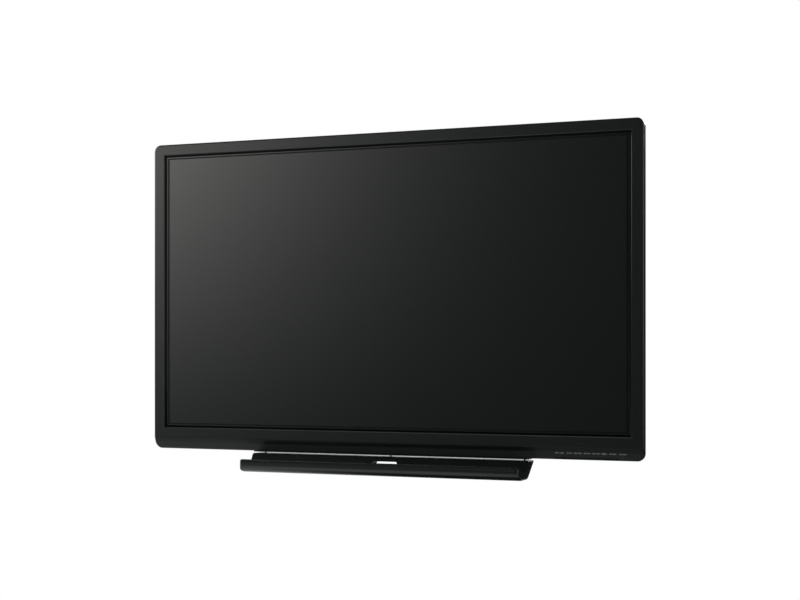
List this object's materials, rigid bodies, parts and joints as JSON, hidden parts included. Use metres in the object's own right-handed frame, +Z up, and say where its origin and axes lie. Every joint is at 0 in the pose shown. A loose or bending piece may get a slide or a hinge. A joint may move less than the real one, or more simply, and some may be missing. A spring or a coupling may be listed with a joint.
{
  "type": "interactive display",
  "caption": "Wall-mounted interactive touch display with a wide black bezel, matt screen, small keys under the lower edge and a pen tray on a bar below.",
  "frame": {"origin": "centre of the four mounting bosses' rear faces", "axes": "+X right seen from the front, +Y from the screen to the wall, +Z up"},
  "size_m": [1.415, 0.169, 0.9134],
  "materials": {
    "bezel_plastic": "glossy",
    "filter_plastic": "glossy",
    "screen_glass": "matt",
    "gasket_rubber": "matt",
    "aluminium_section": "satin",
    "circuit_board": "satin",
    "zinc_steel": "satin",
    "cell_glass": "glossy",
    "white_plastic": "matt",
    "clear_acrylic": "glossy",
    "film_plastic": "matt",
    "cover_paint": "textured matt",
    "black_plastic": "matt",
    "rocker_plastic": "glossy",
    "key_plastic": "glossy",
    "lens_plastic": "glossy",
    "tray_plastic": "satin",
    "bar_paint": "satin"
  },
  "bodies": {
    "display": {"ac_inlet": "black_plastic", "analogue_and_serial_sockets": "zinc_steel", "audio_sockets": "black_plastic", "back_pan": "zinc_steel", "board_spacers": "zinc_steel", "carry_handle_lower_left": "black_plastic", "carry_handle_lower_right": "black_plastic", "carry_handle_upper_left": "black_plastic", "carry_handle_upper_right": "black_plastic", "electronics_housing": "cover_paint", "filter_frame": "filter_plastic", "front_bezel": "bezel_plastic", "glass_gasket": "gasket_rubber", "indicator_lens": "lens_plastic", "key_board": "circuit_board", "lcd_cell": "cell_glass", "led_bar_left": "aluminium_section", "led_bar_right": "aluminium_section", "light_guide_plate": "clear_acrylic", "main_board": "circuit_board", "module_front_frame": "zinc_steel", "module_mid_frame": "white_plastic", "mounting_rail_left": "zinc_steel", "mounting_rail_right": "zinc_steel", "network_socket": "zinc_steel", "optical_film_stack": "film_plastic", "power_supply_board": "circuit_board", "protective_glass": "screen_glass", "rear_cover": "cover_paint", "reflector_sheet": "film_plastic", "speaker_left": "black_plastic", "speaker_right": "black_plastic", "switch_frame": "black_plastic", "terminal_plate": "zinc_steel", "timing_board": "circuit_board", "touch_board_bottom": "circuit_board", "touch_board_left": "circuit_board", "touch_board_right": "circuit_board", "touch_board_top": "circuit_board", "touch_controller_board": "circuit_board", "touch_frame": "aluminium_section", "tray_body": "tray_plastic", "tray_bracket_left": "bar_paint", "tray_bracket_right": "bar_paint", "tray_end_cap_left": "tray_plastic", "tray_end_cap_right": "tray_plastic", "tray_mount_bar": "bar_paint", "tray_pads": "bar_paint", "usb_sockets": "zinc_steel", "video_sockets": "zinc_steel"},
    "power_rocker": {"power_rocker": "rocker_plastic"},
    "function_key_1": {"function_key_1": "key_plastic"},
    "function_key_2": {"function_key_2": "key_plastic"},
    "function_key_3": {"function_key_3": "key_plastic"},
    "function_key_4": {"function_key_4": "key_plastic"},
    "function_key_5": {"function_key_5": "key_plastic"},
    "function_key_6": {"function_key_6": "key_plastic"},
    "function_key_7": {"function_key_7": "key_plastic"}
  },
  "joints": [
    {"name": "function_key_1_press", "type": "slide", "parent": "display", "child": "function_key_1", "axis": [0, 0, 1], "range_m": [0, 0.001], "stiffness_N_per_m": 500, "springref_m": -0.0006},
    {"name": "function_key_2_press", "type": "slide", "parent": "display", "child": "function_key_2", "axis": [0, 0, 1], "range_m": [0, 0.001], "stiffness_N_per_m": 500, "springref_m": -0.0006},
    {"name": "function_key_3_press", "type": "slide", "parent": "display", "child": "function_key_3", "axis": [0, 0, 1], "range_m": [0, 0.001], "stiffness_N_per_m": 500, "springref_m": -0.0006},
    {"name": "function_key_4_press", "type": "slide", "parent": "display", "child": "function_key_4", "axis": [0, 0, 1], "range_m": [0, 0.001], "stiffness_N_per_m": 500, "springref_m": -0.0006},
    {"name": "function_key_5_press", "type": "slide", "parent": "display", "child": "function_key_5", "axis": [0, 0, 1], "range_m": [0, 0.001], "stiffness_N_per_m": 500, "springref_m": -0.0006},
    {"name": "function_key_6_press", "type": "slide", "parent": "display", "child": "function_key_6", "axis": [0, 0, 1], "range_m": [0, 0.001], "stiffness_N_per_m": 500, "springref_m": -0.0006},
    {"name": "function_key_7_press", "type": "slide", "parent": "display", "child": "function_key_7", "axis": [0, 0, 1], "range_m": [0, 0.001], "stiffness_N_per_m": 500, "springref_m": -0.0006},
    {"name": "power_rocker_tilt", "type": "hinge", "parent": "display", "child": "power_rocker", "pos_m": [-0.375, -0.029, -0.2001], "axis": [0, 1, 0], "range_deg": [0, 14]}
  ]
}
